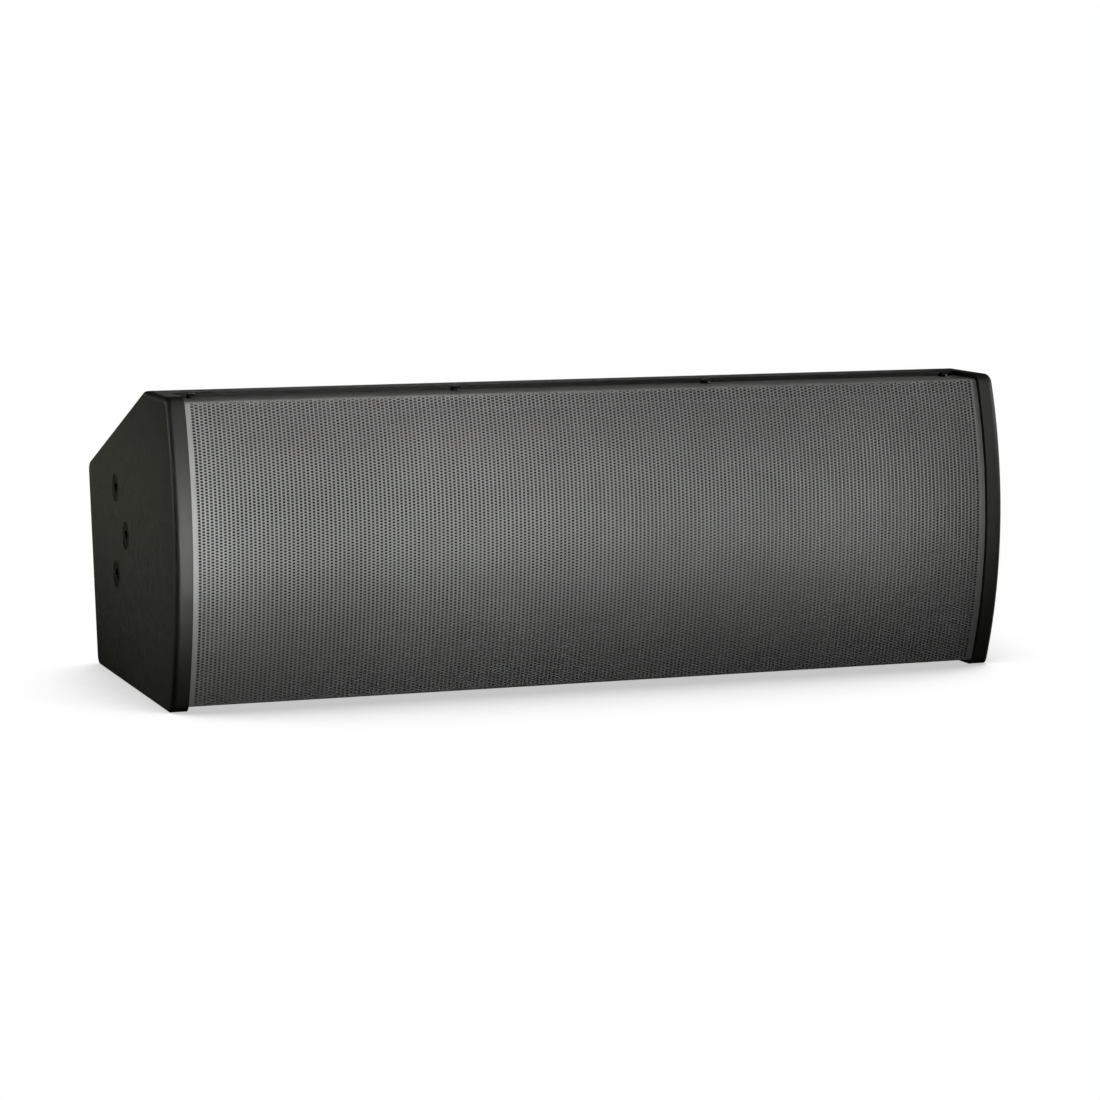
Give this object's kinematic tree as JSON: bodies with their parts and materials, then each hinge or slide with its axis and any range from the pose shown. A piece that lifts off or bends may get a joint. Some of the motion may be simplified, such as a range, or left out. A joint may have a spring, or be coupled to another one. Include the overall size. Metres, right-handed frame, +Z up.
{
  "type": "line array loudspeaker module",
  "caption": "Wide passive loudspeaker module with a bowed perforated front grille, plain side panels, a sloped rear and flush threaded rigging points.",
  "frame": {"origin": "centre of the footprint: middle of the module's bounding box in X and Y, on the plane it stands on", "axes": "+Z up, -Y out of the grille towards the audience, +X along the module's width (right in a front view)"},
  "size_m": [0.753, 0.3283, 0.262],
  "materials": {
    "cabinet_paint": "matt black-olive textured paint on birch plywood",
    "black_plywood": "plywood stained flat black",
    "wadding": "white-grey polyester wadding",
    "grille_steel": "fine satin powder coat, dark grey",
    "acoustic_foam": "open-cell acoustic foam, dark grey",
    "black_screw": "black oxide",
    "zinc_screw": "zinc plated",
    "blackened_steel": "blackened steel, satin",
    "cast_frame": "cast aluminium, black coated",
    "gasket_foam": "closed-cell foam",
    "surround_rubber": "satin rubber-coated cloth",
    "cone_paper": "treated black paper pulp",
    "copper": "enamelled copper wire",
    "spider_cloth": "resin-dipped woven cloth",
    "plated_steel": "zinc plated, passivated",
    "ferrite": "sintered ferrite",
    "terminal_plastic": "moulded strip",
    "horn_plastic": "textured moulding",
    "plug_plastic": "moulded",
    "diaphragm_metal": "bright foil",
    "suspension_film": "clear amber film",
    "circuit_board": "green solder mask",
    "capacitor_film": "wrapped film",
    "resistor_ceramic": "white cement body",
    "black_plate": "fine black powder coat",
    "socket_plastic": "moulded black plastic"
  },
  "bodies": {
    "cabinet": {"side_panel_left": "cabinet_paint", "side_panel_right": "cabinet_paint", "top_panel": "cabinet_paint", "slope_panel": "cabinet_paint", "rear_panel": "cabinet_paint", "bottom_panel": "cabinet_paint", "front_baffle": "black_plywood", "divider_left": "black_plywood", "divider_right": "black_plywood", "wadding_left": "wadding", "wadding_right": "wadding", "grille": "grille_steel", "grille_foam": "acoustic_foam", "grille_screws": "black_screw", "rigging_plate_left": "blackened_steel", "rigging_plate_right": "blackened_steel", "safety_insert": "blackened_steel", "rigging_plate_screws": "zinc_screw", "woofer_frame_left": "cast_frame", "woofer_gasket_left": "gasket_foam", "woofer_surround_left": "surround_rubber", "woofer_spider_left": "spider_cloth", "woofer_top_plate_left": "plated_steel", "woofer_magnet_left": "ferrite", "woofer_yoke_left": "plated_steel", "woofer_frame_right": "cast_frame", "woofer_gasket_right": "gasket_foam", "woofer_surround_right": "surround_rubber", "woofer_spider_right": "spider_cloth", "woofer_top_plate_right": "plated_steel", "woofer_magnet_right": "ferrite", "woofer_yoke_right": "plated_steel", "woofer_screws": "black_screw", "woofer_terminals": "terminal_plastic", "horn": "horn_plastic", "horn_screws": "black_screw", "hf_pole_plate": "plated_steel", "hf_magnet": "ferrite", "hf_top_plate": "plated_steel", "hf_phase_plug": "plug_plastic", "hf_suspension": "suspension_film", "hf_rear_cover": "cast_frame", "crossover_board": "circuit_board", "crossover_standoffs": "zinc_screw", "crossover_coils": "copper", "crossover_capacitors": "capacitor_film", "crossover_resistors": "resistor_ceramic", "input_gasket": "gasket_foam", "input_plate": "black_plate", "speaker_socket_in": "socket_plastic", "speaker_socket_link": "socket_plastic", "input_screws": "black_screw"},
    "woofer_left": {"woofer_cone_left": "cone_paper", "woofer_dust_cap_left": "cone_paper", "woofer_voice_coil_left": "copper"},
    "woofer_right": {"woofer_cone_right": "cone_paper", "woofer_dust_cap_right": "cone_paper", "woofer_voice_coil_right": "copper"},
    "hf_diaphragm": {"hf_diaphragm": "diaphragm_metal"}
  },
  "joints": [
    {"name": "woofer_left_travel", "type": "slide", "parent": "cabinet", "child": "woofer_left", "axis": [0, -1, 0], "range_m": [-0.006, 0.006], "stiffness_N_per_m": 2800, "deforming": ["woofer_surround_left", "woofer_spider_left"]},
    {"name": "woofer_right_travel", "type": "slide", "parent": "cabinet", "child": "woofer_right", "axis": [0, -1, 0], "range_m": [-0.006, 0.006], "stiffness_N_per_m": 2800, "deforming": ["woofer_surround_right", "woofer_spider_right"]},
    {"name": "hf_diaphragm_travel", "type": "slide", "parent": "cabinet", "child": "hf_diaphragm", "axis": [0, -1, 0], "range_m": [-0.0004, 0.0004], "stiffness_N_per_m": 1000, "deforming": ["hf_suspension"]}
  ]
}
